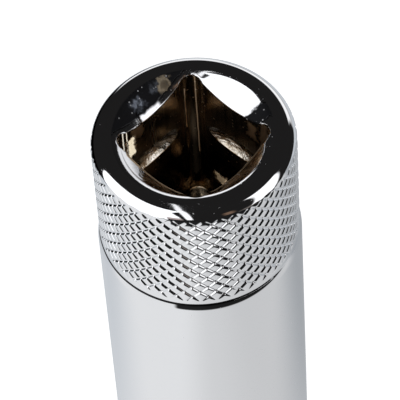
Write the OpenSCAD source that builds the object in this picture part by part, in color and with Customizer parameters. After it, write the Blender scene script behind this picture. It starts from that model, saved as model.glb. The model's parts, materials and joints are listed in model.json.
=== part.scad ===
// Deep thin-walled spark plug socket: a square drive end with a knurled grip, a smooth barrel,
// a twelve-point plug end and a ring magnet above it that holds the plug.
// It stands on its plug end with the drive end up. The origin is the centre of the plug end. Millimetres.

/* [Barrel] */
// Overall length, from the plug end to the drive end
body_l = 65; // [58:0.5:90]
// Wall left outside the points of the plug end
wall = 0.86; // [0.7:0.02:1.5]
// Rounding of the barrel's outer edge at the plug end
foot_r = 0.4; // [0.2:0.05:0.5]
// Rounding of the barrel's outer edge at the shoulder below the grip
shoulder_r = 0.7; // [0.3:0.05:1]

/* [Plug end] */
// Width across the flats of the twelve-point plug end
plug_af = 14.1; // [13.6:0.05:16.2]
// Depth of the twelve points
plug_depth = 14; // [10:0.5:18]
// How far the lead-in cone at the plug end's mouth reaches in
lead_depth = 0.8; // [0.5:0.05:1]

/* [Magnet] */
// Height of the ring magnet
magnet_h = 6; // [4:0.25:8]
// Bore of the ring magnet, which clears the plug's insulator
magnet_bore = 11; // [10.6:0.1:11.4]
// Chamfer on the ring magnet's edges
magnet_chamfer = 0.4; // [0.2:0.05:0.5]
// Space from the end of the twelve points to the magnet
magnet_gap = 1; // [0.5:0.1:2]
// Clearance of the magnet in its pocket, each side
magnet_fit = 0.05; // [0.02:0.01:0.1]

/* [Bores] */
// Bore above the magnet, for the insulator
insulator_d = 12; // [11.6:0.1:12.8]
// Hole through the web, for the plug's terminal
terminal_d = 8; // [6:0.1:9]
// Thickness of the web below the drive square, at the terminal hole
web_t = 4; // [3:0.25:6]
// Point angle of the drill that made the insulator bore
drill_angle = 118; // [90:1:150]

/* [Drive square] */
// Width of the drive square across its flats
drive_af = 9.6; // [9.5:0.05:9.9]
// Depth of the drive square below the drive end
drive_depth = 16.5; // [12:0.1:18]
// Diameter of the bore that trims the square's corners
drive_core_d = 12.6; // [12.2:0.1:12.8]
// Diameter of the round relief in each corner
relief_d = 2.2; // [1.8:0.05:2.6]
// Reach of the corner reliefs from the axis
relief_reach = 6.47; // [6.4:0.01:6.7]
// Diameter of the lead-in cone at the drive end
mouth_d = 13.4; // [13:0.1:14]
// Slope of the lead-in cone, measured from the drive face
mouth_slope = 38; // [30:1:50]
// Depth of the detent groove's middle below the drive end
detent_drop = 6.65; // [5.5:0.05:8]
// Radius of the detent groove's round section
detent_r = 1.1; // [0.9:0.05:1.3]
// Depth of the detent groove in the flats
detent_bite = 0.84; // [0.6:0.02:0.9]

/* [Grip] */
// Length of the grip, from the drive end to the barrel's shoulder
grip_l = 12.7; // [11.5:0.1:16]
// Step from the barrel down to the grip, each side
grip_step = 0.18; // [0.1:0.02:0.3]
// Rounding of the drive end's outer edge
rim_r = 1.05; // [0.6:0.05:1.2]
// Plain strip between the shoulder and the knurl
strip_h = 0.3; // [0.3:0.05:1]
// Number of knurl grooves of each hand
knurl_starts = 40; // [32:1:46]
// Depth of the knurl grooves
knurl_depth = 0.22; // [0.15:0.01:0.3]
// Share of the knurl's pitch that a groove takes
knurl_groove = 0.36; // [0.2:0.02:0.6]
// Turn of the knurl about the axis, in degrees
knurl_turn = -1.65; // [-4.5:0.05:4.5]

/* [Hidden] */
$fn = 96;
slack = 1;                                      // overlap of a cutter past the face that it opens
hex_points = 6;
half_turn = 180 / hex_points;
body_r = plug_af / 2 / cos(half_turn) + wall;
pocket_r = plug_af / 2;
magnet_z = plug_depth + magnet_gap;
pocket_top = magnet_z + magnet_h;
drive_floor = body_l - drive_depth;
web_bottom = drive_floor - web_t;
drill_tip_h = (insulator_d - terminal_d) / 2 / tan(drill_angle / 2);
mouth_h = (mouth_d - drive_af) / 2 * tan(mouth_slope);
detent_ring_r = drive_af / 2 + detent_bite - detent_r;
grip_r = body_r - grip_step;
shoulder_z = body_l - grip_l;
// The knurl's ring: its crest lies a hair below the plain strip, and its diamonds are about as wide as tall
knurl_set = 0.02;
knurl_lap = 0.05;                               // run of the pattern under the strip and the rim
knurl_r = grip_r - knurl_set;
knurl_low = shoulder_z + strip_h;
knurl_high = body_l - rim_r;
knurl_z = knurl_low - knurl_lap;
knurl_h = knurl_high - knurl_low + 2 * knurl_lap;
knurl_rows = round(knurl_h * knurl_starts / (2 * PI * knurl_r));
knurl_pitch = knurl_h / knurl_rows;
knurl_bed_r = knurl_r - 2 * knurl_depth;        // floor of the recess that the ring fills
knurl_core_r = knurl_bed_r - knurl_depth;       // inside of the ring, sunk in the body
land = (1 - knurl_groove) / 2;                  // half of a diamond's flat land, in pitches

// What a rounding of radius r takes off an upper right corner at the origin
module edge_rounding(r) {
    difference() {
        translate([-r, -r]) square(r + slack);
        translate([-r, -r]) circle(r);
    }
}

// Half section of the turned outside: barrel, shoulder, grip and rim, with the recess for the knurl
module outside_half() {
    difference() {
        square([body_r, shoulder_z]);
        translate([body_r, 0]) mirror([0, 1]) edge_rounding(foot_r);
        translate([body_r, shoulder_z]) edge_rounding(shoulder_r);
    }
    difference() {
        square([grip_r, body_l]);
        translate([grip_r, body_l]) edge_rounding(rim_r);
        translate([knurl_bed_r, knurl_low]) square([grip_step + slack, knurl_high - knurl_low]);
    }
}

// Plan of the drive hole: a square with trimmed corners and a round relief in each
module drive_plan() {
    intersection() {
        square(drive_af, center = true);
        circle(d = drive_core_d);
    }
    for (quarter = [45 : 90 : 315])
        rotate(quarter) translate([relief_reach - relief_d / 2, 0]) circle(d = relief_d);
}

// The drive hole with its lead-in cone, detent groove and terminal hole
module drive_hole() {
    translate([0, 0, drive_floor]) linear_extrude(drive_depth + slack) drive_plan();
    translate([0, 0, body_l - mouth_h]) cylinder(h = mouth_h, d1 = drive_af, d2 = mouth_d);
    translate([0, 0, body_l]) cylinder(h = slack, d = mouth_d);
    translate([0, 0, body_l - detent_drop])
        rotate_extrude() translate([detent_ring_r, 0]) circle(detent_r);
    translate([0, 0, web_bottom]) cylinder(h = web_t + slack, d = terminal_d);
}

// Plan of the plug end: two hexagons a twelfth of a turn apart
module plug_plan() {
    for (turn = [0, half_turn])
        rotate(turn) circle(plug_af / 2 / cos(half_turn), $fn = hex_points);
}

// The plug end with its lead-in cone, the magnet's pocket and the drilled insulator bore
module plug_hole() {
    points_r = plug_af / 2 / cos(half_turn);
    translate([0, 0, -slack]) linear_extrude(plug_depth + slack) plug_plan();
    cylinder(h = lead_depth, r1 = points_r, r2 = pocket_r);
    cylinder(h = pocket_top, r = pocket_r);
    cylinder(h = web_bottom - drill_tip_h, d = insulator_d);
    translate([0, 0, web_bottom - drill_tip_h])
        cylinder(h = drill_tip_h, d1 = insulator_d, d2 = terminal_d);
}

// Point at radius r and height z, where u counts diamonds round the grip
function ring_point(r, u, z) =
    let (a = 360 * ((u + knurl_starts) % knurl_starts) / knurl_starts)
    [r * cos(a), r * sin(a), z];

// Point of the knurl, where v counts diamonds up the grip. A sunk point lies at the bottom of a groove.
// The grooves run out to nothing over the last half diamond at each end.
function run_out(v) = min(1, 2 * v, 2 * (knurl_rows - v));
function knurl_point(u, v, sunk) =
    ring_point(knurl_r - (sunk ? knurl_depth * run_out(v) : 0), u, knurl_z + v * knurl_pitch);

// A four-sided face as two triangles
function quad(a, b, c, d) = [[a, c, b], [a, d, c]];

// The corners of the diamond about (u, v), from the right one round
sides = [[1, 0], [0, 1], [-1, 0], [0, -1]];
function corners(u, v, reach, sunk) =
    [for (s = sides) knurl_point(u + s[0] * reach, v + s[1] * reach, sunk)];

// Half of a diamond, from its first corner to the opposite one: half of its land and two groove flanks
function half_diamond(u, v, first) =
    let (root = corners(u, v, 1 / 2, true))
    let (top = corners(u, v, land, false))
    concat(
        [[top[first], top[(first + 2) % 4], top[first + 1]]],
        [for (k = [first, first + 1]) each quad(root[k], root[(k + 1) % 4], top[(k + 1) % 4], top[k])]
    );

// All diamonds: every second row is half a diamond round, and the end rows are halves
function knurl_face() =
    let (rows = 2 * knurl_rows)
    [
        for (row = [0 : rows], i = [0 : knurl_starts - 1])
            let (u = i + (row % 2 == 0 ? 1 / 2 : 0))
            each concat(
                row < rows ? half_diamond(u, row / 2, 0) : [],
                row > 0 ? half_diamond(u, row / 2, 2) : []
            )
    ];

// The back of the ring: tapered ends and an inside that are sunk in the body
function knurl_back() =
    let (steps = [for (i = [0 : knurl_starts - 1]) each [i, i + 1 / 2 - land, i + 1 / 2 + land]])
    let (high = knurl_z + knurl_h)
    let (section = [
        [knurl_r, high],
        [knurl_r - knurl_depth, high + knurl_depth],
        [knurl_core_r, high + knurl_depth],
        [knurl_core_r, knurl_z - knurl_depth],
        [knurl_r - knurl_depth, knurl_z - knurl_depth],
        [knurl_r, knurl_z],
    ])
    [
        for (i = [0 : len(steps) - 1], j = [0 : len(section) - 2])
            let (u = steps[i])
            let (w = steps[(i + 1) % len(steps)])
            let (p = section[j])
            let (q = section[j + 1])
            each quad(
                ring_point(p[0], u, p[1]), ring_point(p[0], w, p[1]),
                ring_point(q[0], w, q[1]), ring_point(q[0], u, q[1])
            )
    ];

// The diamond knurl as a closed ring that fills the recess in the grip
module knurl() {
    triangles = concat(knurl_face(), knurl_back());
    polyhedron(
        points = [for (t = triangles) each t],
        faces = [for (i = [0 : len(triangles) - 1]) [3 * i, 3 * i + 1, 3 * i + 2]]
    );
}

module socket_body() {
    color("gainsboro") {
        difference() {
            rotate_extrude() outside_half();
            drive_hole();
            plug_hole();
        }
        rotate(knurl_turn) knurl();
    }
}

module ring_magnet() {
    outer = pocket_r - magnet_fit;
    inner = magnet_bore / 2;
    section = [
        [inner + magnet_chamfer, 0],
        [outer - magnet_chamfer, 0],
        [outer, magnet_chamfer],
        [outer, magnet_h - magnet_chamfer],
        [outer - magnet_chamfer, magnet_h],
        [inner + magnet_chamfer, magnet_h],
        [inner, magnet_h - magnet_chamfer],
        [inner, magnet_chamfer],
    ];
    color("dimgray") translate([0, 0, magnet_z]) rotate_extrude() polygon(section);
}

socket_body();
ring_magnet();
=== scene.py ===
# %% [markdown]
# # A deep socket for spark plugs, in bright chrome
# The real tool is turned from one steel bar: a smooth barrel, a shoulder, a knurled grip and a
# polished rim round the square drive hole. Inside sits one more piece, a ring magnet.
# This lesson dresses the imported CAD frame. The frame gives the sizes and stays where it is, and
# the looks come from two surfaces worked out with numpy, a few materials and a small studio.

# %% Load the frame
import json
import math
from typing import NamedTuple

import bpy
import numpy as np
from mathutils import Matrix, Vector

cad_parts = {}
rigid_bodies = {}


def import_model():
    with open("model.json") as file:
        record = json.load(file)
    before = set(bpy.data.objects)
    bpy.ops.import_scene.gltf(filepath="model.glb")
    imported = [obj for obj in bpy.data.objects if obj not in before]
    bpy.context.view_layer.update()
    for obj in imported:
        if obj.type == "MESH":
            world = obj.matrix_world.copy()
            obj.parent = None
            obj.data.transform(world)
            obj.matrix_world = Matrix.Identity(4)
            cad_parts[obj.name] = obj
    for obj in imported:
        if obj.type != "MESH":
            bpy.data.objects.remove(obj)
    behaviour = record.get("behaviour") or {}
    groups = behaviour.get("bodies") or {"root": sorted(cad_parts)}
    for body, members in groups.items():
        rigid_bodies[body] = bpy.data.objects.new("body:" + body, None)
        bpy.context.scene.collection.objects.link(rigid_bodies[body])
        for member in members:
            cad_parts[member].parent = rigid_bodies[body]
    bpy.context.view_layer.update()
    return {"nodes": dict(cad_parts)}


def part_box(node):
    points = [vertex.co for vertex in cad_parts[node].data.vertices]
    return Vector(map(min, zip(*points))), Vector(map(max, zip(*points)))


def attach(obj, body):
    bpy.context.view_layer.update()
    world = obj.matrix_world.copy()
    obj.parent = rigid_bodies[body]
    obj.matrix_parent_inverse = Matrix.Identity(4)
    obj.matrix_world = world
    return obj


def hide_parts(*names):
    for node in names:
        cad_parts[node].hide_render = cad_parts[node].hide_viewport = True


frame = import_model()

print("nodes:", sorted(frame["nodes"]))

# %% [markdown]
# ## The sizes
# Everything is worked out in millimetres, because that is how a turner thinks, and becomes metres
# only when a mesh is made. The overall sizes come from the frame. The others are the same driving
# dimensions that the CAD model has, so the new surface lies where the old one was.

# %% Sizes in millimetres
MM = 0.001
TURN = 2 * math.pi

body_low, body_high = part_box("socket_body")
BODY_L = (body_high.z - body_low.z) / MM
BODY_R = (body_high.x - body_low.x) / 2 / MM

FOOT_ROUND = 0.4       # rounding of the barrel's edge at the plug end
SHOULDER_ROUND = 1.5   # rounding of the barrel's edge below the grip
SHOULDER_DROP = 12.27  # from the drive end down to the shoulder
GRIP_STEP = 0.18       # step from the barrel down to the grip
GRIP_R = BODY_R - GRIP_STEP
RIM_ROUND = 1.05       # rounding of the drive end's outer edge

MOUTH_R = 6.97       # where the land starts to roll over into the drive hole
MOUTH_ROUND = 1.15   # radius of that roll
MOUTH_SLOPE = math.radians(39)
CONE_TOP = BODY_L - MOUTH_ROUND * (1 - math.cos(MOUTH_SLOPE))
HALF_SQUARE = 4.8    # half of the drive square across its flats
RELIEF_R = 1.1       # round relief in each corner of the square
RELIEF_REACH = 6.47  # how far the reliefs reach from the axis
DRIVE_DEPTH = 16.5
DETENT_DROP = 6.65   # middle of the detent groove below the drive end
DETENT_R = 1.1
DETENT_BITE = 0.84   # depth of the detent groove in the flats

TERMINAL_R = 4.0  # hole through the web
WEB = 4.0
DRILL_HALF_ANGLE = math.radians(59)
INSULATOR_R = 6.0
MAGNET_LOW = 15.0
MAGNET_H = 6.0
PLUG_HALF = 7.05  # half of the plug end across its flats, and radius of the magnet's pocket
PLUG_DEPTH = 14.0
LEAD_DEPTH = 0.8  # lead-in cone at the plug end
print(f"barrel {2 * BODY_R:.2f} mm wide and {BODY_L:.2f} mm long")

# %% [markdown]
# ## Rings, sheets and a way to join them
# A turned part is a profile carried round an axis, so each stretch of the skin is a grid: rows
# follow the profile and columns go round. One grid for the whole part would waste columns, since
# the knurl needs four hundred and the barrel far fewer. So every stretch has its own columns, and
# two neighbouring rings are zipped with triangles where the surface is flat or plain.

# %% A skin and a zip


class Skin:
    """Points, faces and a finish number for each face of one closed surface."""

    def __init__(self):
        self.points = []
        self.faces = []
        self.finishes = []
        self.count = 0

    def add_points(self, points):
        """Takes an array of points with any grid shape, and returns their numbers in that shape."""
        shape = points.shape[:-1]
        numbers = np.arange(points[..., 0].size).reshape(shape) + self.count
        self.points.append(points.reshape(-1, 3))
        self.count += numbers.size
        return numbers

    def add_faces(self, faces, finish):
        """Takes an array of faces, one row of point numbers each, with one finish or one per face."""
        self.faces.extend(faces.tolist())
        self.finishes.append(np.broadcast_to(finish, len(faces)))

    def add_sheet(self, points, finish):
        """Adds a grid of rows along the profile and columns round the axis, closed round the axis.
        The finish is one number, or a grid of them with a row for each row of faces."""
        ids = self.add_points(points)
        right = np.roll(ids, -1, axis=1)
        quads = np.stack([ids[:-1], right[:-1], right[1:], ids[1:]], axis=-1)
        self.add_faces(quads.reshape(-1, 4), np.broadcast_to(finish, quads.shape[:2]).reshape(-1))
        return ids


def zip_rings(skin, first, second, finish):
    """Joins two rings of any column counts, the second further along the profile than the first.
    Both are sorted by angle. Each edge of one ring makes a triangle with the point of the other
    ring that a hand sweeping round both would hold at that moment."""
    points = np.concatenate(skin.points)
    sorted_rings = []
    for ids in (first, second):
        angle = np.mod(np.arctan2(points[ids, 1], points[ids, 0]), TURN)
        order = np.argsort(angle)
        sorted_rings.append((ids[order], np.append(angle[order][1:], angle[order][0] + TURN)))
    (a, a_end), (b, b_end) = sorted_rings
    held_b = b[np.searchsorted(b_end, a_end, side="left") % len(b)]
    held_a = a[np.searchsorted(a_end, b_end, side="right") % len(a)]
    skin.add_faces(np.stack([a, np.roll(a, -1), held_b], axis=-1), finish)
    skin.add_faces(np.stack([held_a, np.roll(b, -1), b], axis=-1), finish)


print("skin helpers ready")

# %% Profiles and corners
CORNER_SHARE = 0.45  # the most of a side that a soft corner may take


def around(profile, angles):
    """Carries a profile round the axis. The profile holds radius and height, as rows of two
    numbers for a plain turned shape, or as rows by columns of two numbers where it changes."""
    radius, height = profile[..., 0], profile[..., 1]
    if profile.ndim == 2:
        radius, height = radius[:, None], height[:, None]
    x = radius * np.cos(angles)
    y = radius * np.sin(angles)
    return np.stack([x, y, np.broadcast_to(height, x.shape)], axis=-1)


def arc(centre, radius, start, end, steps):
    """Points on a circle, from one angle to another in degrees."""
    t = np.radians(np.linspace(start, end, steps + 1))
    return np.stack([centre[0] + radius * np.cos(t), centre[1] + radius * np.sin(t)], axis=-1)


def even_angles(count):
    """Evenly spaced columns round the axis."""
    return np.arange(count) * TURN / count


def corner_rings(columns, *places):
    """Corners of a profile that changes from column to column. Each place is a radius and a
    height, and either may be one number or one for each column."""
    flat = np.zeros((columns, 2))
    return [np.stack(np.broadcast_arrays(*place), axis=-1) + flat for place in places]


def soft_corner(before, corner, after, reach):
    """Three points that turn a corner softly: the start, middle and end of a parabola whose ends
    lie on the two sides, at most the given reach and less than half of each side away."""
    sides = []
    for end in (before, after):
        side = end - corner
        length = np.maximum(np.linalg.norm(side, axis=-1, keepdims=True), 1e-9)
        sides.append(corner + side / length * np.minimum(reach, CORNER_SHARE * length))
    start, stop = sides
    return [start, (start + 2 * corner + stop) / 4, stop]


def corner_path(corners, reaches):
    """A profile through a list of corners. Corners with a reach are softened, the ends stay."""
    rows = [corners[0]]
    for before, corner, after, reach in zip(corners, corners[1:], corners[2:], reaches):
        rows += soft_corner(before, corner, after, reach) if reach else [corner]
    return np.stack(rows + [corners[-1]])


print("profile helpers ready")

# %% [markdown]
# ## The finishes
# The skin has six finishes in one mesh, five as the real tool has them: chrome outside, the turned
# lead-in cone, thin warm nickel on the walls of the drive hole, where the chrome bath hardly reaches,
# a rougher cut in the detent groove and a satin bore. The sixth is painted shade: black in the corner
# under the grip, for the shade in its undercut. Each face only needs the number of its finish.

# %% Finish numbers
CHROME, CONE, NICKEL, GROOVE, BORE, CORNER = range(6)
skin = Skin()
print("finishes:", CHROME, CONE, NICKEL, GROOVE, BORE, CORNER)

# %% [markdown]
# ## Barrel, shoulder and strip
# The barrel is a plain lathe shape. Its two edges are arcs. Under the grip the turner has run a
# small pointed tool into the corner, so that the knurl ends cleanly: a fine undercut, painted black
# as the shade in it. Its corners get tiny soft turns, because a perfect corner would smear its
# shading.

# %% The barrel's profile
BARREL_COLUMNS = 240
BARREL_ROWS = 12
EDGE_STEPS = 10
FOOT_LAND_R = 8.45             # where the foot's flat ring meets the plug end
UNDERCUT_R = 8.744             # bottom of the undercut between barrel and grip
UNDERCUT_H = 0.13
UNDERCUT_LIP = 0.02            # how far its upper lip lies inside the grip
UNDERCUT_SOFTS = [0.03, 0.05]  # soft turns at its bottom and at its lip
KNURL_LOW = BODY_L - 12.4      # where the knurl starts, above a plain strip
STRIP_GAP = 0.04               # room for the zip between strip and knurl
shoulder_centre = (BODY_R - SHOULDER_ROUND, BODY_L - SHOULDER_DROP - SHOULDER_ROUND)
shoulder_turn = math.degrees(math.acos((UNDERCUT_R - shoulder_centre[0]) / SHOULDER_ROUND))
foot_arc = arc((BODY_R - FOOT_ROUND, FOOT_ROUND), FOOT_ROUND, -90, 0, EDGE_STEPS)
shoulder_arc = arc(shoulder_centre, SHOULDER_ROUND, 0, shoulder_turn, EDGE_STEPS)
wall_heights = np.linspace(FOOT_ROUND, shoulder_centre[1], BARREL_ROWS + 1)[1:-1]
wall = np.stack([np.full_like(wall_heights, BODY_R), wall_heights], axis=-1)
undercut_lip = np.array([GRIP_R - UNDERCUT_LIP, shoulder_arc[-1][1] + UNDERCUT_H])
strip_end = np.array([GRIP_R, KNURL_LOW - STRIP_GAP])
undercut = corner_path([*shoulder_arc[-2:], undercut_lip, strip_end], UNDERCUT_SOFTS)
barrel_profile = np.concatenate(
    [[(FOOT_LAND_R, 0)], foot_arc, wall, shoulder_arc[:-1], undercut[1:]]
)
print("rows of the barrel:", len(barrel_profile))

# %% The barrel and its black corner of painted shade
BLACK_TURN = math.radians(26)  # how far round the shoulder the painted black shade starts
BLACK_LIP = 0.05               # how far below the undercut's lip the black ends
black_start = shoulder_centre[1] + SHOULDER_ROUND * math.sin(BLACK_TURN)
black_end = undercut_lip[1] - BLACK_LIP
middle_height = (barrel_profile[:-1, 1] + barrel_profile[1:, 1]) / 2
# the rows in the undercut corner get the black finish, which is painted shade
in_black = (middle_height > black_start) & (middle_height < black_end)
barrel_finish = np.where(in_black, CORNER, CHROME)
barrel = skin.add_sheet(around(barrel_profile, even_angles(BARREL_COLUMNS)), barrel_finish[:, None])
print("barrel rows and columns:", barrel.shape)

# %% [markdown]
# ## The knurl
# A knurling wheel presses two crossing sets of V grooves into the grip, and what stays between
# them are small flat-topped diamonds. Bump could fake it, but the edge of the rim would stay
# round, so the diamonds are real. The trick is to choose grid lines that run along the grooves:
# with u counted round the grip and v up it, one set of grooves lies at whole values of p = u + v
# and the other at whole values of q = u - v. Stations close to the grooves keep them crisp.
# Above the knurl the edge rolls over into the flat land round the drive hole. The buffing wheel
# has blurred that change, so the land is crowned: its lean grows with the distance outwards, and
# the rounding of the rim starts where it has the same lean.

# %% The knurl's lattice
KNURL_STARTS = 40                      # grooves of each hand
KNURL_PITCH = 1.395                    # height of a diamond
KNURL_ROWS = 8.5                       # diamonds up the grip
KNURL_TURN = math.radians(-1.65)
KNURL_DEPTH = 0.20
GROOVE_HALF = 0.175                    # half width of a groove, in pitches
GROOVE_SOFT = 0.008                    # higher values round the edges of the grooves more
CORNER_POWER = 5                       # higher values give the diamonds sharper corners
RUN_OUT_LOW, RUN_OUT_HIGH = 0.6, 0.35  # how far the grooves fade at both ends, in diamonds
stations = np.array([0, 0.055, 0.115, 0.165, 0.215, 0.5, 0.785, 0.835, 0.885, 0.945])

CROWN_R = GRIP_R - 1.84         # highest ring of the crowned land
CROWN_LEAN = math.radians(9.3)  # its lean where the rounding takes over
crown_end = GRIP_R - RIM_ROUND + RIM_ROUND * math.sin(CROWN_LEAN)
CROWN_DROP = math.tan(CROWN_LEAN) * (crown_end - CROWN_R) / 2
RIM_CENTRE = BODY_L - CROWN_DROP - RIM_ROUND * math.cos(CROWN_LEAN)


def station(index):
    """Value of p or q at a line of the lattice: whole diamonds plus the station within one."""
    return index // len(stations) + stations[index % len(stations)]


def groove(value):
    """Depth share of one set of grooves: a V that is 1 at whole values and fades softly to 0."""
    ramp = 1 - np.abs(value - np.round(value)) / GROOVE_HALF
    return (ramp + np.sqrt(ramp ** 2 + GROOVE_SOFT)) / 2


def smooth_step(low, high, value):
    """Rises from 0 to 1 between low and high, with level ends."""
    t = np.clip((value - low) / (high - low), 0, 1)
    return t * t * (3 - 2 * t)


def knurl_surface(row, column):
    """Point of the grip for lattice numbers. The radius is the plain grip with its rounded rim,
    less the two grooves, which run out to nothing at both ends of the knurl. Their depths meet in
    a sum of high powers, which is nearly the deeper one and rounds the diamonds' corners."""
    p, q = station(row + column), station(column)
    u, v = (p + q) / 2, (p - q) / 2
    height = KNURL_LOW + v * KNURL_PITCH
    above = np.maximum(height - RIM_CENTRE, 0)
    plain = GRIP_R - RIM_ROUND + np.sqrt(RIM_ROUND ** 2 - above ** 2)
    run_out = smooth_step(0, RUN_OUT_LOW, v) * smooth_step(0, RUN_OUT_HIGH, KNURL_ROWS - v)
    depth = (groove(p) ** CORNER_POWER + groove(q) ** CORNER_POWER) ** (1 / CORNER_POWER)
    cut = GRIP_R - KNURL_DEPTH * run_out * depth
    radius = np.minimum(plain, cut)
    angle = u * TURN / KNURL_STARTS + KNURL_TURN
    return np.stack([radius * np.cos(angle), radius * np.sin(angle), height], axis=-1)


print("diamonds:", int(KNURL_STARTS * KNURL_ROWS * 2))

# %% Knurl the grip
knurl_rows = int(2 * KNURL_ROWS * len(stations))
knurl_columns = KNURL_STARTS * len(stations)
row, column = np.meshgrid(np.arange(knurl_rows + 1), np.arange(knurl_columns), indexing="ij")
knurl = skin.add_points(knurl_surface(row, column))
knurl_next = np.roll(knurl, -1, axis=1)
diamonds = np.stack([knurl[1:-1], knurl_next[:-2], knurl_next[1:-1], knurl[2:]], axis=-1)
low_halves = np.stack([knurl[0], knurl_next[0], knurl[1]], axis=-1)
high_halves = np.stack([knurl[-1], knurl_next[-2], knurl_next[-1]], axis=-1)
skin.add_faces(diamonds.reshape(-1, 4), CHROME)
skin.add_faces(low_halves, CHROME)
skin.add_faces(high_halves, CHROME)
zip_rings(skin, barrel[-1], knurl[0], CHROME)
print("knurl rows and columns:", knurl.shape)

# %% [markdown]
# ## The rim
# The rounded edge and the crowned land are the brightest and blackest place of the whole tool,
# because they mirror the studio from the floor to the top of the sky. So they get many rows.

# %% Rim and land
RIM_COLUMNS = 256
RIM_STEPS = 22
RIM_GAP = 1.5               # degrees of the rounding left to the zip above the knurl
CROWN_STEPS = 10
RIM_END_R = MOUTH_R + 0.25  # where the rim's rings end
knurl_high = KNURL_LOW + KNURL_ROWS * KNURL_PITCH
rim_start = math.degrees(math.asin((knurl_high - RIM_CENTRE) / RIM_ROUND)) + RIM_GAP
rim_end = 90 - math.degrees(CROWN_LEAN)
rim_arc = arc((GRIP_R - RIM_ROUND, RIM_CENTRE), RIM_ROUND, rim_start, rim_end, RIM_STEPS)


def crown_height(radius):
    """Height of the land: its top, less a drop that grows with the square of the way outwards."""
    return BODY_L - CROWN_DROP * ((radius - CROWN_R) / (crown_end - CROWN_R)) ** 2


crown_radius = np.linspace(crown_end, RIM_END_R, CROWN_STEPS + 1)[1:]
crown = np.stack([crown_radius, crown_height(crown_radius)], axis=-1)
rim = skin.add_sheet(around(np.concatenate([rim_arc, crown]), even_angles(RIM_COLUMNS)), CHROME)
zip_rings(skin, knurl[-1], rim[0], CHROME)
print("rim rows and columns:", rim.shape)

# %% [markdown]
# ## The drive hole
# A broach cuts the square, with a round relief in each corner, into a drilled and coned hole.
# Seen from above, its outline is four flats and four arcs, so the columns follow that outline,
# closer at the edges. Each column has its own profile down the hole: the polished roll of the land,
# cone, wall, detent groove, wall again, floor and the terminal hole. The groove is turned, so it
# cuts deep into the flats and misses the corners, and the profile simply takes whichever of wall
# and groove lies further out.

# %% Outline of the drive hole
RELIEF_STEPS = 28
flat_shares = np.concatenate([[-1, -0.985, -0.95], np.linspace(-0.85, 0.85, 13), [0.95, 0.985, 1]])
relief_centre = (RELIEF_REACH - RELIEF_R) / math.sqrt(2)
relief_start = math.degrees(math.acos((HALF_SQUARE - relief_centre) / RELIEF_R))
flat_half = relief_centre - RELIEF_R * math.sin(math.radians(relief_start))
flat_points = np.stack([np.full_like(flat_shares, HALF_SQUARE), flat_half * flat_shares], axis=-1)
relief_points = arc(
    (relief_centre, relief_centre), RELIEF_R, -relief_start, 90 + relief_start, RELIEF_STEPS
)
quarter = np.concatenate([flat_points, relief_points[1:-1]])
quarter_angle = np.arctan2(quarter[:, 1], quarter[:, 0])
drive_radius = np.tile(np.hypot(quarter[:, 0], quarter[:, 1]), 4)
drive_angle = (quarter_angle + np.arange(4)[:, None] * TURN / 4).reshape(-1)
print("columns of the drive hole:", len(drive_angle))

# %% Detent groove and rolled mouth
DETENT_STEPS = 12
DETENT_LEAST = 0.2  # least half turn of the groove's rows, in radians
ROLL_STEPS = 8
CONE_LEAST = 0.15   # least width of cone left between roll and wall
detent_ring = HALF_SQUARE + DETENT_BITE - DETENT_R
detent_reach = np.arccos(np.clip((drive_radius - detent_ring) / DETENT_R, -1, 1))
detent_reach = np.maximum(detent_reach, DETENT_LEAST)
detent_turns = np.linspace(1, -1, DETENT_STEPS + 1)[:, None] * detent_reach
detent_radius = np.maximum(drive_radius, detent_ring + DETENT_R * np.cos(detent_turns))
detent_height = BODY_L - DETENT_DROP + DETENT_R * np.sin(detent_turns)
detent = np.stack([detent_radius, detent_height], axis=-1)

roll_room = np.arcsin(np.clip((MOUTH_R - drive_radius - CONE_LEAST) / MOUTH_ROUND, 0, 1))
roll_turn = np.linspace(0, 1, ROLL_STEPS + 1)[:, None] * np.minimum(MOUTH_SLOPE, roll_room)
roll_radius = MOUTH_R - MOUTH_ROUND * np.sin(roll_turn)
roll_height = BODY_L - MOUTH_ROUND * (1 - np.cos(roll_turn))
roll = np.stack([roll_radius, roll_height], axis=-1)
crease = roll_height[-1] - (roll_radius[-1] - drive_radius) * math.tan(MOUTH_SLOPE)
print(f"cone meets the wall {BODY_L - crease.max():.2f} to {BODY_L - crease.min():.2f} mm down")

# %% Profile of the drive hole
DRIVE_FLOOR = BODY_L - DRIVE_DEPTH
WEB_LOW = DRIVE_FLOOR - WEB
POCKET_TOP = MAGNET_LOW + MAGNET_H
HOLE_START_R = MOUTH_R + 0.13   # where the hole's own columns start on the land
HOLE_END_R = INSULATOR_R + 0.3  # where they end on the step above the magnet
CREASE_SOFT = 0.13
DETENT_SOFT = 0.05
FLOOR_SOFTS = [0.2, 0.12, 0.12, 0.12, 0.08]
drill_tip = (INSULATOR_R - TERMINAL_R) / math.tan(DRILL_HALF_ANGLE)
columns = len(drive_radius)
drive_corners = [
    *corner_rings(columns, (HOLE_START_R, crown_height(HOLE_START_R))),
    *roll,
    *corner_rings(columns, (drive_radius, crease)),
    *detent,
    *corner_rings(
        columns, (drive_radius, DRIVE_FLOOR), (TERMINAL_R, DRIVE_FLOOR), (TERMINAL_R, WEB_LOW),
        (INSULATOR_R, WEB_LOW - drill_tip), (INSULATOR_R, POCKET_TOP), (HOLE_END_R, POCKET_TOP),
    ),
]
detent_softs = [DETENT_SOFT] + [0] * (DETENT_STEPS - 1) + [DETENT_SOFT]
drive_softs = [0] * (ROLL_STEPS + 1) + [CREASE_SOFT] + detent_softs + FLOOR_SOFTS
drive_profile = corner_path(drive_corners, drive_softs)
print("rows of the drive hole:", len(drive_profile))

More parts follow.
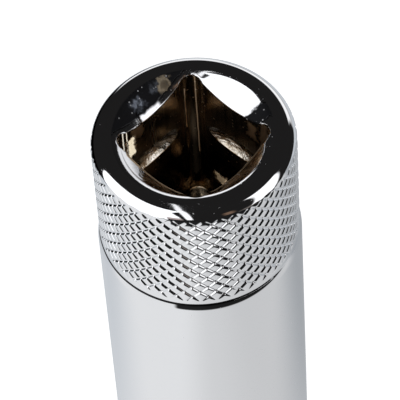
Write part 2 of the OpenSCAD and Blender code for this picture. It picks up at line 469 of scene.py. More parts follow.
# %% The drive hole and its finishes
cone_rows = ROLL_STEPS + 4    # rows to the soft edge between cone and wall
detent_first = cone_rows + 3
detent_last = detent_first + DETENT_STEPS
floor_rows = detent_last + 8  # rows to the edge of the terminal hole
row_number = np.arange(len(drive_profile) - 1)
drive_finish = np.select(
    [
        row_number == 0,
        row_number < cone_rows,
        (row_number >= detent_first) & (row_number < detent_last),
        row_number < floor_rows,
    ],
    [CHROME, CONE, GROOVE, NICKEL],
    BORE,
)
uncut = (drive_radius > detent_ring + DETENT_R) & (drive_finish[:, None] == GROOVE)
drive_finish = np.where(uncut, NICKEL, drive_finish[:, None])
drive = skin.add_sheet(around(drive_profile, drive_angle), drive_finish)
zip_rings(skin, rim[-1], drive[0], CHROME)
print("drive hole rows and columns:", drive.shape)

# %% [markdown]
# ## The plug end
# The twelve points are two hexagons a twelfth of a turn apart. A column's radius is the larger
# of the two hexagons' radii, and columns close to every point and notch keep those edges crisp.

# %% Pocket, twelve points and foot
POINTS_R = PLUG_HALF / math.cos(TURN / 12)
LEAD_R = POINTS_R + 0.06         # lead-in cone where it meets the foot
STEP_R = INSULATOR_R + 0.5       # where the plug end's columns start on the step
FOOT_END_R = FOOT_LAND_R - 0.06  # where they end on the foot
POINTS_STEP = 0.01               # tiny step from the pocket out to the points
STAR_SOFTS = [0.1, 0.06, 0.06, 0.05, 0.05]
STAR_BORE_ROWS = 9               # rows of the step and the pocket, down to the points
star_shares = np.array([0, 0.03, 0.25, 0.5, 0.75, 0.97])
star_angle = ((np.arange(24)[:, None] + star_shares) * TURN / 24).reshape(-1)


def hexagon(angle, turn):
    """Radius of a hexagon: half across flats over the cosine of the angle from its nearest flat."""
    from_flat = np.mod(angle - turn + TURN / 12, TURN / 6) - TURN / 12
    return PLUG_HALF / np.cos(from_flat)


star_radius = np.maximum(hexagon(star_angle, 0), hexagon(star_angle, TURN / 12))
lead_height = LEAD_DEPTH * (LEAD_R - star_radius) / (LEAD_R - PLUG_HALF)
star_corners = corner_rings(
    len(star_radius), (STEP_R, POCKET_TOP), (PLUG_HALF, POCKET_TOP),
    (PLUG_HALF, PLUG_DEPTH + 2 * POINTS_STEP), (star_radius + POINTS_STEP, PLUG_DEPTH),
    (star_radius, lead_height), (LEAD_R, 0), (FOOT_END_R, 0),
)
star_profile = corner_path(star_corners, STAR_SOFTS)
star_finish = np.where(np.arange(len(star_profile) - 1) < STAR_BORE_ROWS, BORE, CHROME)
star = skin.add_sheet(around(star_profile, star_angle), star_finish[:, None])
zip_rings(skin, drive[-1], star[0], BORE)
zip_rings(skin, star[-1], barrel[0], CHROME)
print("plug end rows and columns:", star.shape)

# %% [markdown]
# ## From arrays to a mesh
# One call hands the arrays to Blender. Two sums then prove the surface: every edge must belong to
# two faces, and the enclosed volume must be positive, which means that the faces point outwards.

# %% Mesh helpers


def build_piece(name, made, materials):
    """Makes an object at the origin from a skin, in metres, smooth, with one finish per face."""
    mesh = bpy.data.meshes.new(name)
    mesh.from_pydata(np.concatenate(made.points) * MM, [], made.faces)
    for material in materials:
        mesh.materials.append(material)
    mesh.polygons.foreach_set("material_index", np.concatenate(made.finishes).astype(np.int32))
    mesh.shade_smooth()
    mesh.update()
    piece = bpy.data.objects.new(name, mesh)
    bpy.context.scene.collection.objects.link(piece)
    return piece


def prove_closed(piece):
    """Counts edges without two faces, and sums the signed volume of all triangles."""
    mesh = piece.data
    mesh.calc_loop_triangles()
    corners = np.zeros(len(mesh.loop_triangles) * 3, np.int32)
    mesh.loop_triangles.foreach_get("vertices", corners)
    points = np.zeros(len(mesh.vertices) * 3)
    mesh.vertices.foreach_get("co", points)
    a, b, c = points.reshape(-1, 3)[corners.reshape(-1, 3).T] / MM
    volume = np.sum(a * np.cross(b, c)) / 6
    edge_of_loop = np.zeros(len(mesh.loops), np.int32)
    mesh.loops.foreach_get("edge_index", edge_of_loop)
    open_edges = np.count_nonzero(np.bincount(edge_of_loop) != 2)
    print(f"{piece.name}: {len(a)} triangles, {volume:.1f} mm3, {open_edges} open edges")


print("mesh helpers ready")

# %% [markdown]
# ## Node helpers
# Materials are built by small functions. One makes any node, sets its values and links its
# inputs. The others are short forms of it for the nodes that come up again and again, so that a
# finish reads like a recipe.

# %% Node helpers


def put(tree, kind, inputs=(), **settings):
    """Adds a node, sets its properties, and sets or links its inputs by name or number."""
    node = tree.nodes.new(kind)
    for key, value in settings.items():
        setattr(node, key, value)
    for key, value in dict(inputs).items():
        socket = node.inputs[key]
        if isinstance(value, bpy.types.NodeSocket):
            tree.links.new(value, socket)
        else:
            socket.default_value = value
    return node


def calc(tree, operation, *values, **settings):
    """Result of a Math node for numbers or sockets."""
    node = put(tree, "ShaderNodeMath", dict(enumerate(values)), operation=operation, **settings)
    return node.outputs[0]


def vector_calc(tree, operation, *values):
    """Result of a Vector Math node for vectors or sockets. A dot product gives a number."""
    node = put(tree, "ShaderNodeVectorMath", dict(enumerate(values)), operation=operation)
    return node.outputs["Value" if operation == "DOT_PRODUCT" else "Vector"]


def blend(tree, share, first, second):
    """Colour that moves from the first to the second as the share goes from 0 to 1."""
    return put(tree, "ShaderNodeMix", {0: share, 6: first, 7: second}, data_type="RGBA").outputs[2]


def fade(tree, value, low, high, start=0.0, end=1.0, kind="SMOOTHSTEP"):
    """Number that moves from start to end while a value runs from low to high."""
    return put(
        tree, "ShaderNodeMapRange",
        {"Value": value, "From Min": low, "From Max": high, "To Min": start, "To Max": end},
        interpolation_type=kind,
    ).outputs[0]


def object_place(tree):
    """The place on the object, in its own coordinates."""
    return put(tree, "ShaderNodeTexCoord").outputs["Object"]


print("node helpers ready")

# %% Groups and materials


def new_group(name, vectors, numbers, output):
    """A shader node group that takes named vectors and numbers, and puts out one number."""
    group = bpy.data.node_groups.new(name, "ShaderNodeTree")
    for kind, labels in (("NodeSocketVector", vectors), ("NodeSocketFloat", numbers)):
        for label in labels:
            group.interface.new_socket(label, in_out="INPUT", socket_type=kind)
    group.interface.new_socket(output, in_out="OUTPUT", socket_type="NodeSocketFloat")
    given = group.nodes.new("NodeGroupInput").outputs
    return group, given, group.nodes.new("NodeGroupOutput").inputs[0]


def new_material(name):
    """An empty node material with its output node, ready for a shader."""
    material = bpy.data.materials.new(name)
    material.use_nodes = True
    tree = material.node_tree
    tree.nodes.clear()
    return material, tree, tree.nodes.new("ShaderNodeOutputMaterial")


print("group and material helpers ready")

# %% [markdown]
# ## Marks of the maker
# Polishing, broaching and turning leave fine lines that run one way. They are noise squeezed
# along one direction, so one group serves every finish: its Stretch input says which way the
# lines run. A second group scatters small specks, the dust and pits that dark chrome shows. A
# third one masks a ragged box, for a film, a painted reflection, a darker bottom or a spot where a
# tool has chattered: a place is inside where it lies within the half size along all three directions.

# %% Fine lines
FINE_LINES, given, result = new_group("fine_lines", ["Stretch"], ["Contrast"], "Lines")
squeezed = vector_calc(FINE_LINES, "MULTIPLY", object_place(FINE_LINES), given["Stretch"])
noise = put(
    FINE_LINES, "ShaderNodeTexNoise",
    {"Vector": squeezed, "Scale": 1.0, "Detail": 4.0, "Roughness": 0.6},
).outputs[0]
centred = calc(FINE_LINES, "SUBTRACT", noise, 0.5)
lines = calc(FINE_LINES, "MULTIPLY_ADD", centred, given["Contrast"], 0.5, use_clamp=True)
FINE_LINES.links.new(lines, result)
print("group:", FINE_LINES.name)

# %% Specks
SPECK_CELLS = 4000.0      # cells in a metre, each with one speck or none
SPECK_EDGE = (0.2, 0.35)  # where a speck starts to fade and has gone, in cells
SPECKS, given, result = new_group("specks", [], ["Share"], "Specks")
cells = put(
    SPECKS, "ShaderNodeTexVoronoi",
    {"Vector": object_place(SPECKS), "Scale": SPECK_CELLS, "Randomness": 1.0},
).outputs
chance = put(SPECKS, "ShaderNodeSeparateColor", {0: cells["Color"]}).outputs[0]
chosen = calc(SPECKS, "LESS_THAN", chance, given["Share"])
spot = fade(SPECKS, cells["Distance"], *SPECK_EDGE, 1.0, 0.0, kind="LINEAR")
SPECKS.links.new(calc(SPECKS, "MULTIPLY", chosen, spot), result)
print("group:", SPECKS.name)

# %% Ragged boxes
PATCH, given, result = new_group(
    "patch", ["Middle", "Along", "Half Size"], ["Softness", "Ragged"], "Mask"
)
place = object_place(PATCH)
ripple = put(PATCH, "ShaderNodeTexNoise", {"Vector": place, "Scale": 2200.0, "Detail": 6.0})
centred = vector_calc(PATCH, "SUBTRACT", ripple.outputs["Color"], (0.5, 0.5, 0.5))
shift = put(PATCH, "ShaderNodeVectorMath", {0: centred, "Scale": given["Ragged"]}, operation="SCALE")
moved = vector_calc(PATCH, "ADD", place, shift.outputs[0])
local = vector_calc(PATCH, "SUBTRACT", moved, given["Middle"])
across = vector_calc(PATCH, "CROSS_PRODUCT", (0, 0, 1), given["Along"])
half = put(PATCH, "ShaderNodeSeparateXYZ", {0: given["Half Size"]}).outputs
mask = 1.0
for axis, reach in ((given["Along"], half[0]), (across, half[1]), ((0, 0, 1), half[2])):
    from_middle = calc(PATCH, "ABSOLUTE", vector_calc(PATCH, "DOT_PRODUCT", local, axis))
    inside = calc(PATCH, "SUBTRACT", reach, from_middle)
    mask = calc(PATCH, "MULTIPLY", mask, fade(PATCH, inside, 0.0, given["Softness"]))
PATCH.links.new(mask, result)
print("group:", PATCH.name)

# %% [markdown]
# ## A recipe for metal
# All finishes are bare metal, so they differ in colour, in roughness and in the lines left by
# the tool. Chrome is nearly a mirror: its colour is what stands around it. Brown films, worn spots,
# painted reflections and a darker bottom come on top as patches. Some patches also lean the surface,
# where a tool has torn it: the lean is a bump of saw teeth, so that the place mirrors another part of
# the studio.

# %% Patches


class Patch(NamedTuple):
    """A ragged box that tints the metal, for a real stain or for painted light, in millimetres: its
    middle, as x, y and the way down from the drive end, the direction of its first axis, its half
    sizes, the softness of its edge and how far that edge wanders. With a lean, each period of height
    below the pivot is a tooth that falls outwards by lean times the period."""

    middle: tuple
    along: tuple
    half: tuple
    softness: float
    ragged: float
    colour: tuple
    rough: float = 0.3
    lean: float = 0.0
    pivot: float = BODY_L
    period: float = 0.3


def patch_mask(tree, spot):
    """Mask of one stain, with its sizes turned to metres."""
    x, y, down = spot.middle
    sizes = {
        "Middle": Vector((x, y, BODY_L - down)) * MM,
        "Along": Vector(spot.along).normalized(),
        "Half Size": Vector(spot.half) * MM,
        "Softness": spot.softness * MM,
        "Ragged": spot.ragged * MM,
    }
    return put(tree, "ShaderNodeGroup", sizes, node_tree=PATCH).outputs[0]


def saw_teeth(tree, mask, spot, below):
    """Adds one stain's leaning teeth to a bump height, and returns the sum. A tooth's height falls
    with the fraction of its period, counted a hair past the pivot, where the first tooth starts."""
    pivot, period = spot.pivot * MM, spot.period * MM
    fall = spot.lean * period
    z = put(tree, "ShaderNodeSeparateXYZ", {0: object_place(tree)}).outputs["Z"]
    low = calc(tree, "MINIMUM", z, pivot)
    teeth = calc(tree, "MULTIPLY_ADD", low, 1 / period, -pivot / period - 1e-3)
    drop = calc(tree, "MULTIPLY_ADD", calc(tree, "FRACT", teeth), -fall, fall)
    return calc(tree, "MULTIPLY_ADD", drop, mask, below)


print("stain helpers ready")

# %% Metal
SPECK_ROUGH = 0.25  # what a speck adds to the roughness
SPECK_HEIGHT = 0.5  # its height, as a share of the tool lines' height
SPECK_SHOWS = 0.8   # how much of it shows through a patch
INNER_POWER = 10.0  # higher values keep a patch's roughness further from its edge


def metal(name, dark, light, stretch, roughness, mark_height, speck_share, patches=(), contrast=1.0):
    """A metal whose colour wanders between two tones along the tool's lines. Roughness is a low
    and a high value along the same lines, and a bump of the given height, in metres, cuts them.
    Patches come on top, with the metal's own specks showing through as dust."""
    material, tree, output = new_material(name)
    lines = {"Stretch": stretch, "Contrast": contrast}
    marks = put(tree, "ShaderNodeGroup", lines, node_tree=FINE_LINES).outputs[0]
    specks = put(tree, "ShaderNodeGroup", {"Share": speck_share}, node_tree=SPECKS).outputs[0]
    colour = blend(tree, marks, (*dark, 1), (*light, 1))
    sheen = fade(tree, marks, 0.0, 1.0, *roughness, kind="LINEAR")
    rough = calc(tree, "MULTIPLY_ADD", specks, SPECK_ROUGH, sheen)
    height = calc(tree, "MULTIPLY_ADD", specks, SPECK_HEIGHT, marks)
    height = calc(tree, "MULTIPLY", height, mark_height)
    clear = calc(tree, "MULTIPLY_ADD", specks, -SPECK_SHOWS, 1.0)
    for spot in patches:
        mask = patch_mask(tree, spot)
        if spot.lean:
            height = saw_teeth(tree, mask, spot, height)
        colour = blend(tree, calc(tree, "MULTIPLY", mask, clear), colour, (*spot.colour, 1))
        inner = calc(tree, "POWER", mask, INNER_POWER)
        rough = put(tree, "ShaderNodeMix", {0: inner, 2: rough, 3: spot.rough}).outputs[0]
    bump = put(tree, "ShaderNodeBump", {"Distance": 1.0, "Height": height})
    shader = put(
        tree, "ShaderNodeBsdfPrincipled",
        {"Base Color": colour, "Metallic": 1.0, "Roughness": rough, "Normal": bump.outputs[0]},
    )
    tree.links.new(shader.outputs[0], output.inputs["Surface"])
    return material


print("metal recipe ready")

# %% [markdown]
# ## Chrome, bore and magnet
# Three metals need no patches. Chrome over a buffed barrel has hardly a line, the drilled bore is a
# dark satin, because the bath does not reach it, and the magnet has a dull plate of its own. The
# corner under the grip is black as painted shade, and two pale patches leave that shade off on the
# right.

# %% Outside, bore and magnet
RIGHT = (0.698, 0.716, 0)  # across the view, along a diagonal of the drive square
PALE = (0.86, 0.87, 0.89)
chrome = metal(
    "chrome", dark=(0.885, 0.892, 0.905), light=(0.905, 0.908, 0.918), stretch=(150, 150, 2500),
    roughness=(0.035, 0.05), mark_height=5e-8, speck_share=0.01,
)
bore = metal(
    "satin_bore", dark=(0.18, 0.16, 0.14), light=(0.27, 0.25, 0.22), stretch=(300, 300, 3000),
    roughness=(0.3, 0.45), mark_height=6e-6, speck_share=0.1,
)
magnet_plate = metal(
    "magnet_plate", dark=(0.50, 0.49, 0.47), light=(0.60, 0.59, 0.57), stretch=(900, 900, 900),
    roughness=(0.25, 0.4), mark_height=4e-6, speck_share=0.2,
)
black_down = BODY_L - black_start
# the black corner is painted shade; these two pale patches leave it off on the right
unshaded_end = Patch((8.6, 8.8, black_down), RIGHT, (6.6, 30, 9), 0.3, 0.8, PALE, 0.1)
unshaded_edge = Patch((5.6, 5.8, black_down + 0.94), RIGHT, (5.6, 30, 1.05), 0.08, 0.1, PALE, 0.1)
# black metal as painted shade in the undercut corner
corner_black = metal(
    "black_corner", dark=(0.015, 0.015, 0.016), light=(0.03, 0.03, 0.03), stretch=(900, 900, 900),
    roughness=(0.3, 0.5), mark_height=1e-6, speck_share=0.02, patches=[unshaded_end, unshaded_edge],
)
print("metals:", chrome.name, bore.name, magnet_plate.name, corner_black.name)

# %% [markdown]
# ## The cone
# The lead-in cone is turned and has seen use. Dark reflections are painted into it at the far left
# and the far right, with painted grey-blue, grey and tan reflections at the edge of the left one, the
# tool has chattered on the left, and a burr of bare metal follows the edge to both near walls.

# %% Turned cone
X_WAY, Y_WAY = (1, 0, 0), (0, 1, 0)
# the black of the painted dark reflections
REFLECTION_BLACK = (0.020, 0.020, 0.022)
BURR_HALF = (3.5, 0.16, 0.7)
BURR_DOWN = 1.2
chatter = Patch(
    (-4.9, -5.0, 0), (0.7, 0.714, 0), (2.6, 8, 4), 0.35, 0.9, (0.72, 0.73, 0.75), 0.1,
    lean=0.29, pivot=CONE_TOP, period=2.0,
)
# painted reflections: dark at the far left and far right of the cone, grey-blue, grey and tan beside
# the left one
left_dark_reflection = Patch((-6.7, 0, 0), X_WAY, (1.62, 6, 2), 0.25, 0.3, REFLECTION_BLACK, 0.6)
blue_grey_reflection = Patch((-6.02, -0.6, 0), X_WAY, (0.6, 0.9, 2), 0.45, 1.4, (0.14, 0.155, 0.185))
grey_reflection = Patch((-6.0, 1.7, 0), X_WAY, (0.5, 0.8, 2), 0.45, 1.4, (0.11, 0.12, 0.14))
tan_reflection = Patch((-5.75, 2.5, 0), (-0.9, 0.44, 0), (0.75, 0.7, 2), 0.4, 1.0, (0.58, 0.48, 0.34))
right_dark_reflection = Patch((2.70, 5.47, 0), (0.443, 0.897, 0), (1.4, 0.95, 2), 0.25, 0.8, REFLECTION_BLACK, 0.6)
left_burr = Patch((0, -4.95, BURR_DOWN), X_WAY, BURR_HALF, 0.06, 0.1, (0.58, 0.45, 0.30), 0.5)
right_burr = Patch((4.95, 0, BURR_DOWN), Y_WAY, BURR_HALF, 0.06, 0.1, (0.34, 0.25, 0.16), 0.5)
cone_cut = metal(
    "turned_cone", dark=(0.82, 0.83, 0.86), light=(0.92, 0.92, 0.93), stretch=(260, 260, 9000),
    roughness=(0.04, 0.10), mark_height=2.5e-6, speck_share=0.12,
    patches=[chatter, left_dark_reflection, blue_grey_reflection, grey_reflection, tan_reflection, right_dark_reflection, left_burr, right_burr],
)
print("metal:", cone_cut.name)

# %% [markdown]
# ## The walls of the drive hole
# Inside the square the steel shows warm through the thin nickel. The walls darken towards the bottom,
# and brown films hang below the cone. Where the broach left the reliefs, fine bright lines run down
# the edges, torn open by the tool. Each is a narrow patch that leans towards the light. The groove
# below is cut rough, so its two tones lie far apart.

# %% Films, a darker bottom and a glint
BROWN = (0.56, 0.36, 0.20)
# the walls get darker towards the bottom of the hole
darker_bottom = Patch((0, 0, 14.5), X_WAY, (12, 12, 6.8), 2.5, 0.5, (0.13, 0.10, 0.07), 0.12)
left_film = Patch((-4.8, -2.0, 1.9), Y_WAY, (1.7, 2, 1.8), 1.2, 1.0, BROWN, 0.5)
right_film = Patch((2.3, 4.8, 2.4), X_WAY, (1.5, 2, 2.0), 1.2, 1.0, BROWN, 0.45)
relief_film = Patch((3.6, 4.9, 2.5), RIGHT, (0.8, 1.2, 2.6), 0.6, 0.8, (0.34, 0.22, 0.13), 0.45)
lobe_glint = Patch((-4.38, 4.42, 16.3), RIGHT, (1.0, 1.3, 0.75), 0.5, 0.9, (0.98, 0.84, 0.62), 0.22)
wall_tints = [darker_bottom, left_film, right_film, relief_film]
print("films:", len(wall_tints))

# %% Torn edges and lines
EDGE_LEAN, RELIEF_LEAN, WORN_LEAN = 1.28, 1.1, 2.0
torn_edge = Patch(
    (-4.8, -2.8, 3.3), Y_WAY, (0.65, 2, 1.4), 0.3, 0.9, (0.76, 0.66, 0.48), 0.2, lean=EDGE_LEAN
)
edge_line = Patch(
    (-4.8, -3.25, 2.2), Y_WAY, (0.11, 2, 1.9), 0.06, 0.1, (0.80, 0.72, 0.58), 0.2, lean=EDGE_LEAN
)
relief_line = Patch(
    (-4.83, -3.67, 2.3), RIGHT, (0.11, 0.8, 1.9), 0.06, 0.1, (0.80, 0.74, 0.62), 0.2, lean=RELIEF_LEAN
)
far_line = Patch(
    (-4.93, 4.11, 4.6), RIGHT, (0.09, 1.2, 2.8), 0.06, 0.1, (0.74, 0.55, 0.36), 0.35, lean=RELIEF_LEAN
)
far_seam = Patch(
    (-4.26, 4.80, 5.6), RIGHT, (0.14, 1.2, 5.6), 0.1, 0.1, (0.19, 0.13, 0.08), 0.4, lean=RELIEF_LEAN
)
worn_spot = Patch(
    (-1.85, 4.8, 13.2), X_WAY, (0.95, 2, 0.85), 0.4, 1.0, (0.80, 0.62, 0.40), 0.3,
    lean=WORN_LEAN, period=0.25,
)
torn = [torn_edge, edge_line, relief_line, far_line, far_seam, worn_spot]
print("torn places:", len(torn))

# %% Warm nickel and rough groove
nickel = metal(
    "warm_nickel", dark=(0.46, 0.34, 0.22), light=(0.66, 0.50, 0.34), stretch=(2600, 2600, 60),
    roughness=(0.12, 0.34), mark_height=1.2e-5, speck_share=0.04, patches=[*wall_tints, *torn, lobe_glint],
)
groove_cut = metal(
    "groove_cut", dark=(0.42, 0.35, 0.26), light=(1.0, 0.97, 0.90), stretch=(800, 800, 2600),
    roughness=(0.05, 0.18), mark_height=4.6e-5, speck_share=0.1, contrast=3.2,
)
finishes = [chrome, cone_cut, nickel, groove_cut, bore, corner_black]
print("finishes of the body:", [made.name for made in finishes])

# %% Place the body
body = build_piece("body_skin", skin, finishes)
prove_closed(body)
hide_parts("socket_body")
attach(body, "root")

# %% [markdown]
# ## The ring magnet
# A pressed and sintered ring with blunt edges, plated with nickel. It is another lathe shape whose
# profile comes back to its start, so its last row is the first one again.

# %% Ring magnet
MAGNET_COLUMNS = 128
MAGNET_CHAMFER = 0.4
MAGNET_SOFT = 0.1
MAGNET_IN = 5.5  # radius of its hole
magnet_low, magnet_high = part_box("ring_magnet")
magnet_out = (magnet_high.x - magnet_low.x) / 2 / MM
bottom, top = magnet_low.z / MM, magnet_high.z / MM
magnet_corners = np.array([
    (MAGNET_IN + MAGNET_CHAMFER, bottom), (magnet_out - MAGNET_CHAMFER, bottom),
    (magnet_out, bottom + MAGNET_CHAMFER), (magnet_out, top - MAGNET_CHAMFER),
    (magnet_out - MAGNET_CHAMFER, top), (MAGNET_IN + MAGNET_CHAMFER, top),
    (MAGNET_IN, top - MAGNET_CHAMFER), (MAGNET_IN, bottom + MAGNET_CHAMFER),
])
before, after = np.roll(magnet_corners, 1, axis=0), np.roll(magnet_corners, -1, axis=0)
magnet_softs = soft_corner(before, magnet_corners, after, MAGNET_SOFT)
magnet_profile = np.stack(magnet_softs, axis=1).reshape(-1, 2)
magnet_skin = Skin()
ids = magnet_skin.add_points(around(magnet_profile, even_angles(MAGNET_COLUMNS)))
beside, beyond = np.roll(ids, -1, axis=1), np.roll(ids, -1, axis=0)
magnet_faces = np.stack([ids, beside, np.roll(beyond, -1, axis=1), beyond], axis=-1)
magnet_skin.add_faces(magnet_faces.reshape(-1, 4), 0)
magnet = build_piece("magnet_ring", magnet_skin, [magnet_plate])
prove_closed(magnet)
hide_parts("ring_magnet")
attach(magnet, "root")

# %% [markdown]
# ## The camera
# The photograph looks down steeply along one diagonal of the drive square, from far away with a
# long lens, and a little tilted.

# %% Camera
CAMERA_AZIMUTH = math.radians(45.74)
CAMERA_ELEVATION = math.radians(54.40)
CAMERA_ROLL = math.radians(-4.128)
CAMERA_DISTANCE = 281.5
CAMERA_SIDE = 0.17      # how far to the right of the axis it aims
CAMERA_AIM_DROP = 9.64  # how far below the drive end it aims
CAMERA_LENS = 290.66
CAMERA_SENSOR = 36
right = Vector((math.cos(CAMERA_AZIMUTH), math.sin(CAMERA_AZIMUTH), 0))
back = Vector((
    math.sin(CAMERA_AZIMUTH) * math.cos(CAMERA_ELEVATION),
    -math.cos(CAMERA_AZIMUTH) * math.cos(CAMERA_ELEVATION),
    math.sin(CAMERA_ELEVATION),
))
up = back.cross(right)
image_right = math.cos(CAMERA_ROLL) * right + math.sin(CAMERA_ROLL) * up
image_up = math.cos(CAMERA_ROLL) * up - math.sin(CAMERA_ROLL) * right
target = right * CAMERA_SIDE + Vector((0, 0, BODY_L - CAMERA_AIM_DROP))
camera_place = (target + back * CAMERA_DISTANCE) * MM
camera_turn = Matrix((image_right, image_up, back)).transposed()
camera_data = bpy.data.cameras.new("camera")
camera_data.lens = CAMERA_LENS
camera_data.sensor_width = CAMERA_SENSOR
camera_data.clip_start, camera_data.clip_end = 0.01, 20
camera = bpy.data.objects.new("camera", camera_data)
camera.matrix_world = Matrix.Translation(camera_place) @ camera_turn.to_4x4()
bpy.context.scene.collection.objects.link(camera)
bpy.context.scene.camera = camera
print("camera at", [round(x, 4) for x in camera_place])

# %% [markdown]
# ## The studio
# Chrome has no colour of its own to speak of, so the studio is half of the material. The sky is
# a dim room with soft boxes: each is a window of light, placed by its direction from the tool,
# as seen from the camera. A window is a rectangle on a plane that faces the tool: a ray is inside
# where its place on that plane, per unit of depth, lies between the window's edges.

# %% A window of light
LEAST_DEPTH = 0.001  # keeps rays beside the plane from dividing by zero


def studio_direction(side, height):
    """Unit vector to a place in the studio: degrees to the right of the camera, and above level."""
    a = CAMERA_AZIMUTH + math.radians(side)
    e = math.radians(height)
    return Vector((math.sin(a) * math.cos(e), -math.cos(a) * math.cos(e), math.sin(e)))


STUDIO_WINDOW, given, result = new_group(
    "studio_window",
    ["Direction", "Centre", "Across", "Up"],
    ["Half Width", "Low", "High", "Softness"],
    "Window",
)
facing, across, upward = (
    vector_calc(STUDIO_WINDOW, "DOT_PRODUCT", given["Direction"], given[axis])
    for axis in ("Centre", "Across", "Up")
)
depth = calc(STUDIO_WINDOW, "MAXIMUM", facing, LEAST_DEPTH)
aside = calc(STUDIO_WINDOW, "ABSOLUTE", calc(STUDIO_WINDOW, "DIVIDE", across, depth))
above = calc(STUDIO_WINDOW, "DIVIDE", upward, depth)
window = calc(STUDIO_WINDOW, "GREATER_THAN", facing, 0.0)
for far, near in ((given["Half Width"], aside), (above, given["Low"]), (given["High"], above)):
    inside = calc(STUDIO_WINDOW, "SUBTRACT", far, near)
    share = fade(STUDIO_WINDOW, inside, 0.0, given["Softness"])
    window = calc(STUDIO_WINDOW, "MULTIPLY", window, share)
STUDIO_WINDOW.links.new(window, result)
print("group:", STUDIO_WINDOW.name)

# %% [markdown]
# ## The soft boxes
# The big boxes left and right give the rim its white bands. The left one is made of three windows,
# because its edge has corners. A narrow lamp reaches from beside the camera to past the zenith.
# Behind the tool hangs a pale sheet, grey at its foot, and dim cards and spilt light fill the gaps
# between. Later windows cover earlier ones.

# %% Sky with soft boxes
# Each window: side and height of its middle, roll, half width, low and high edge, all in degrees,
# then its colour and the softness of its edges
BOX_WHITE = (1.30, 1.31, 1.33)
WINDOWS = {
    "dim_gap": (-23.8, -3, 11.2, 15, 18, 40, (0.45, 0.38, 0.37), 0.06),
    "box_corner": (-23.8, -3, 11.2, 15, 33, 84, BOX_WHITE, 0.06),
    "left_box": (-64.6, 12.9, 17.3, 35, -22, 74, BOX_WHITE, 0.05),
    "right_spill": (54, 2, 0, 20, -22, 14, (0.18, 0.16, 0.15), 0.2),
    "right_box": (69, 19, -20, 16, -24, 56, (1.20, 1.20, 1.22), 0.07),
    "wedge_fill": (-19, 0, 9, 7, 33, 50, BOX_WHITE, 0.04),
    "strip_lamp": (-9.6, 31, 6.9, 3.4, -10, 86, (1.1, 1.1, 1.12), 0.02),
    "warm_card": (29, 0, 0, 8, 14, 42, (0.18, 0.115, 0.08), 0.12),
    "back_sheet": (164, 0, -18, 36, -80, 30.5, (1.00, 1.00, 1.01), 0.12),
    "sheet_foot": (150, 0, 0, 24, -20, 13, (0.50, 0.50, 0.51), 0.12),
}
ROOM = (0.0130, 0.0125, 0.0125, 1)
WHITE = (1, 1, 1, 1)


def degree_tangent(angle):
    """Tangent of an angle in degrees: how far out a direction lands on a plane at unit depth."""
    return math.tan(math.radians(angle))


world = bpy.data.worlds.new("studio")
world.use_nodes = True
tree = world.node_tree
tree.nodes.clear()
direction = put(tree, "ShaderNodeTexCoord").outputs["Generated"]
light = put(tree, "ShaderNodeRGB").outputs[0]
light.default_value = ROOM
for name, (side, height, roll_angle, wide, low, high, colour, softness) in WINDOWS.items():
    centre = studio_direction(side, height)
    level = Vector((0, 0, 1)).cross(centre).normalized()
    upright = centre.cross(level)
    c, s = math.cos(math.radians(roll_angle)), math.sin(math.radians(roll_angle))
    edges = {
        "Direction": direction,
        "Centre": centre,
        "Across": c * level + s * upright,
        "Up": c * upright - s * level,
        "Half Width": degree_tangent(wide),
        "Low": degree_tangent(low),
        "High": degree_tangent(high),
        "Softness": softness,
    }
    window = put(tree, "ShaderNodeGroup", edges, node_tree=STUDIO_WINDOW, label=name)
    light = blend(tree, window.outputs[0], light, (*colour, 1))
to_camera = put(tree, "ShaderNodeLightPath").outputs["Is Camera Ray"]
backdrop = blend(tree, to_camera, light, WHITE)
sky = put(tree, "ShaderNodeBackground", {"Color": backdrop, "Strength": 1.0})
put(tree, "ShaderNodeOutputWorld", {"Surface": sky.outputs[0]})
bpy.context.scene.world = world
print("windows:", list(WINDOWS))

# %% [markdown]
# ## The floor
# A white sheet. To the camera it is white with a faint shadow, and in the chrome it is the pale
# field that the whole barrel mirrors, brighter on the left, where the big soft box hangs over it.
# The field is a product of soft fades to the side and to the front. It is dimmer behind the tool,
# ends with a slanted edge in front, and has a black card on it at the back left.

# %% The sheet
FLOOR_HALF = 3.0
floor_mesh = bpy.data.meshes.new("floor")
corners = np.array([(-1, -1, 0), (1, -1, 0), (1, 1, 0), (-1, 1, 0)]) * FLOOR_HALF
floor_mesh.from_pydata(corners, [], [(0, 1, 2, 3)])
floor = bpy.data.objects.new("floor", floor_mesh)
bpy.context.scene.collection.objects.link(floor)
print("floor", 2 * FLOOR_HALF, "m wide")

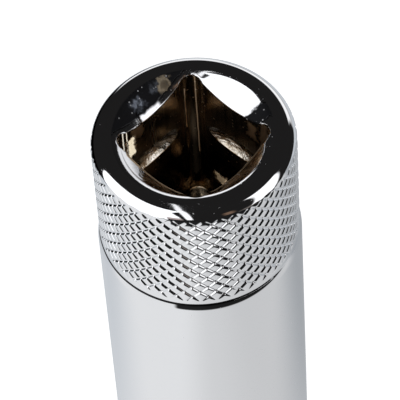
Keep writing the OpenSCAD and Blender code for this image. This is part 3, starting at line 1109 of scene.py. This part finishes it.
# %% What the chrome sees of it
# Each fade: where it starts and ends, in metres to the right or to the front, and its two values
LEFT_GLOW = (-0.02, 0.004, 0.82, 0.69)
RIGHT_FALL = (0, 0.03, 1, 0.9)
BEHIND = (-0.024, 0.014, 1.0, 0.0)
BEHIND_SHADE = (-0.012, 0.014, 0.22, 0.36)
FAR = (-0.09, -0.045, 1.0, 0.0)
FAR_TONE = 0.62
FRONT_END = (0.066, 0.095, 0.0, 0.98)
FRONT_SLANT = (-0.56, -0.46, 0.0, 1.0)  # of the way to the right over the way to the front
CARD_SIDE = (-0.065, -0.045, 1.0, 0.0)
CARD_BACK = (-0.06, -0.04, 1.0, 0.0)
material, tree, output = new_material("white_sheet")
place = object_place(tree)
side = vector_calc(tree, "DOT_PRODUCT", place, studio_direction(90, 0))
front = vector_calc(tree, "DOT_PRODUCT", place, studio_direction(0, 0))
slant = calc(tree, "DIVIDE", side, front)


def less(strength, dark):
    """A strength with a dark share taken from it: strength times one less the share."""
    return calc(tree, "MULTIPLY", strength, calc(tree, "SUBTRACT", 1.0, dark))


behind = fade(tree, front, *BEHIND)
shade = calc(tree, "MULTIPLY", fade(tree, side, *BEHIND_SHADE), behind)
near_tone = calc(tree, "MULTIPLY", fade(tree, side, *LEFT_GLOW), fade(tree, side, *RIGHT_FALL))
tones = {0: fade(tree, front, *FAR), 2: less(near_tone, shade), 3: FAR_TONE}
field = put(tree, "ShaderNodeMix", tones).outputs[0]
front_end = calc(tree, "MULTIPLY", fade(tree, front, *FRONT_END), fade(tree, slant, *FRONT_SLANT))
card = calc(tree, "MULTIPLY", fade(tree, side, *CARD_SIDE), fade(tree, front, *CARD_BACK))
mirrored = less(less(field, front_end), card)
print(f"the sheet goes from {LEFT_GLOW[2]} on the left to {LEFT_GLOW[3]}, and to {FAR_TONE} far away")

# %% Floor material
CAMERA_GLOW = 0.86  # the rest up to white is light that a shadow can take away
SHEET_GREY = (0.5, 0.5, 0.5, 1)
FRONT_TINT, BEHIND_TINT = (0.99, 1, 1.015, 1), (0.94, 0.985, 1.04, 1)
glow = put(tree, "ShaderNodeEmission", {"Color": WHITE, "Strength": CAMERA_GLOW})
lit = put(tree, "ShaderNodeBsdfDiffuse", {"Color": SHEET_GREY})
shown = put(tree, "ShaderNodeAddShader", {0: glow.outputs[0], 1: lit.outputs[0]})
tint = blend(tree, behind, FRONT_TINT, BEHIND_TINT)
seen_in_chrome = put(tree, "ShaderNodeEmission", {"Color": tint, "Strength": mirrored})
to_camera = put(tree, "ShaderNodeLightPath").outputs["Is Camera Ray"]
sheet = put(
    tree, "ShaderNodeMixShader", {0: to_camera, 1: seen_in_chrome.outputs[0], 2: shown.outputs[0]}
)
tree.links.new(sheet.outputs[0], output.inputs["Surface"])
floor_mesh.materials.append(material)
bpy.context.scene.view_settings.view_transform = "Standard"
print("floor material:", material.name)
